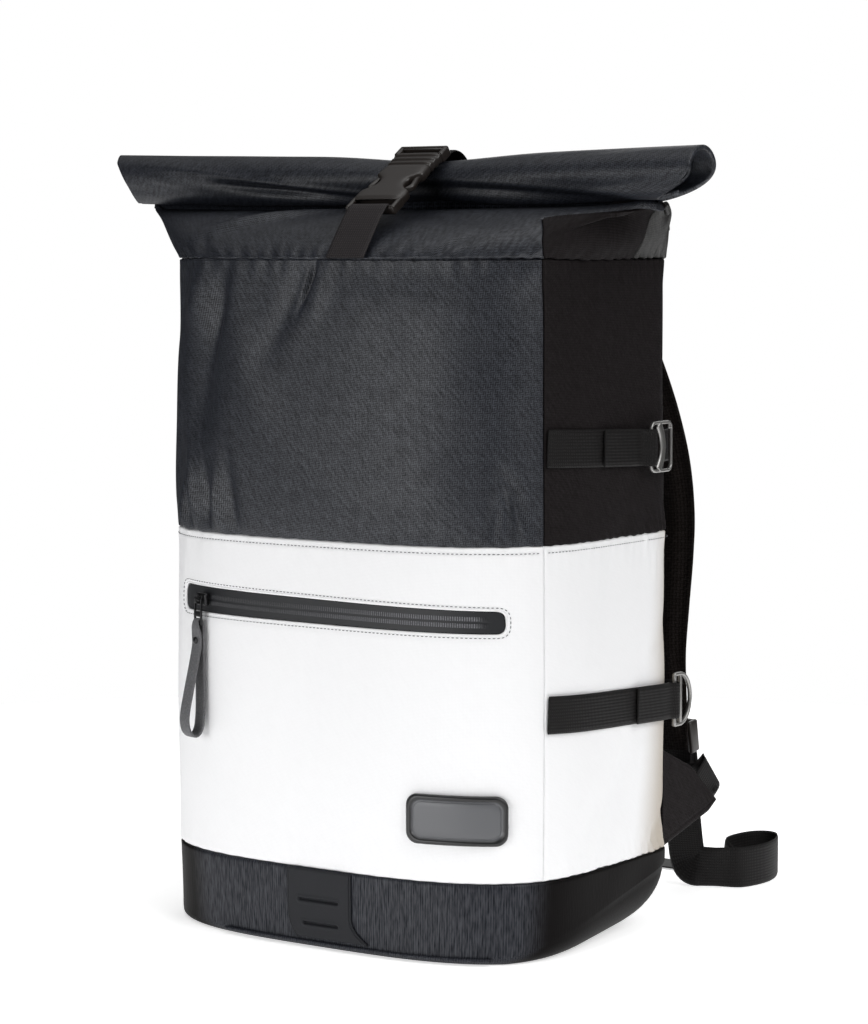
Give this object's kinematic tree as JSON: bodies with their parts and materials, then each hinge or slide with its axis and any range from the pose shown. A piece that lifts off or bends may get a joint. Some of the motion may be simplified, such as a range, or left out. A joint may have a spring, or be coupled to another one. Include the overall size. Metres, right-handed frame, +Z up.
{
  "type": "roll-top laptop backpack",
  "caption": "Roll-top laptop backpack with a black base and upper part, a white band with a front zip, a buckled closing strap, side straps and padded shoulder straps.",
  "frame": {"origin": "middle of the base's flat underside, on the surface that the bag stands on", "axes": "+Z up, -Y towards the bag's front with the zip, +Y towards the wearer's back, +X to the right seen from the front"},
  "size_m": [0.476, 0.4122, 0.5374],
  "materials": {
    "black_cloth": "black woven polyester with a fine twill and a dull sheen",
    "white_cloth": "white coated woven cloth, smooth and slightly soft to the light",
    "base_cloth": "black coated base cloth",
    "padding": "black knit mesh over foam",
    "webbing": "black ribbed polyester webbing",
    "buckle_plastic": "moulded acetal, fine texture",
    "rubber": "moulded matt rubber",
    "leather": "grey leather with painted edges",
    "gunmetal": "dark nickel plated",
    "zip_tape": "woven zip tape with a coated nylon coil"
  },
  "bodies": {
    "bag": {"adjust_webbing_left": "webbing", "adjust_webbing_right": "webbing", "back_panel": "padding", "badge": "rubber", "base_piping": "base_cloth", "base_tub": "base_cloth", "buckle_plug": "buckle_plastic", "buckle_socket": "buckle_plastic", "closure_strap_back": "webbing", "closure_strap_front": "webbing", "fitting_anchor_lower_left": "webbing", "fitting_anchor_lower_right": "webbing", "fitting_anchor_upper_left": "webbing", "fitting_anchor_upper_right": "webbing", "ladder_lock_left": "buckle_plastic", "ladder_lock_right": "buckle_plastic", "light_tab": "rubber", "lower_front_panel": "white_cloth", "lower_side_panel_left": "white_cloth", "lower_side_panel_right": "white_cloth", "rolltop_collar": "black_cloth", "rolltop_roll": "black_cloth", "shoulder_strap_left": "padding", "shoulder_strap_right": "padding", "side_strap_lower_left": "webbing", "side_strap_lower_right": "webbing", "side_strap_upper_left": "webbing", "side_strap_upper_right": "webbing", "strap_hook_upper_left": "gunmetal", "strap_hook_upper_right": "gunmetal", "strap_ring_lower_left": "gunmetal", "strap_ring_lower_right": "gunmetal", "strap_wing_left": "black_cloth", "strap_wing_right": "black_cloth", "upper_front_panel": "black_cloth", "upper_side_panel_left": "black_cloth", "upper_side_panel_right": "black_cloth", "zip_slider": "gunmetal", "zip_tape": "zip_tape"},
    "zip_pull": {"zip_pull_tab": "gunmetal", "zip_pull_loop": "leather", "zip_pull_rivet": "gunmetal"}
  },
  "joints": [
    {"name": "zip_pull_swing", "type": "hinge", "parent": "bag", "child": "zip_pull", "pos_m": [-0.09842, -0.11389, 0.229], "axis": [-0.9639, 0.2664, 0], "range_deg": [0, 165]}
  ]
}
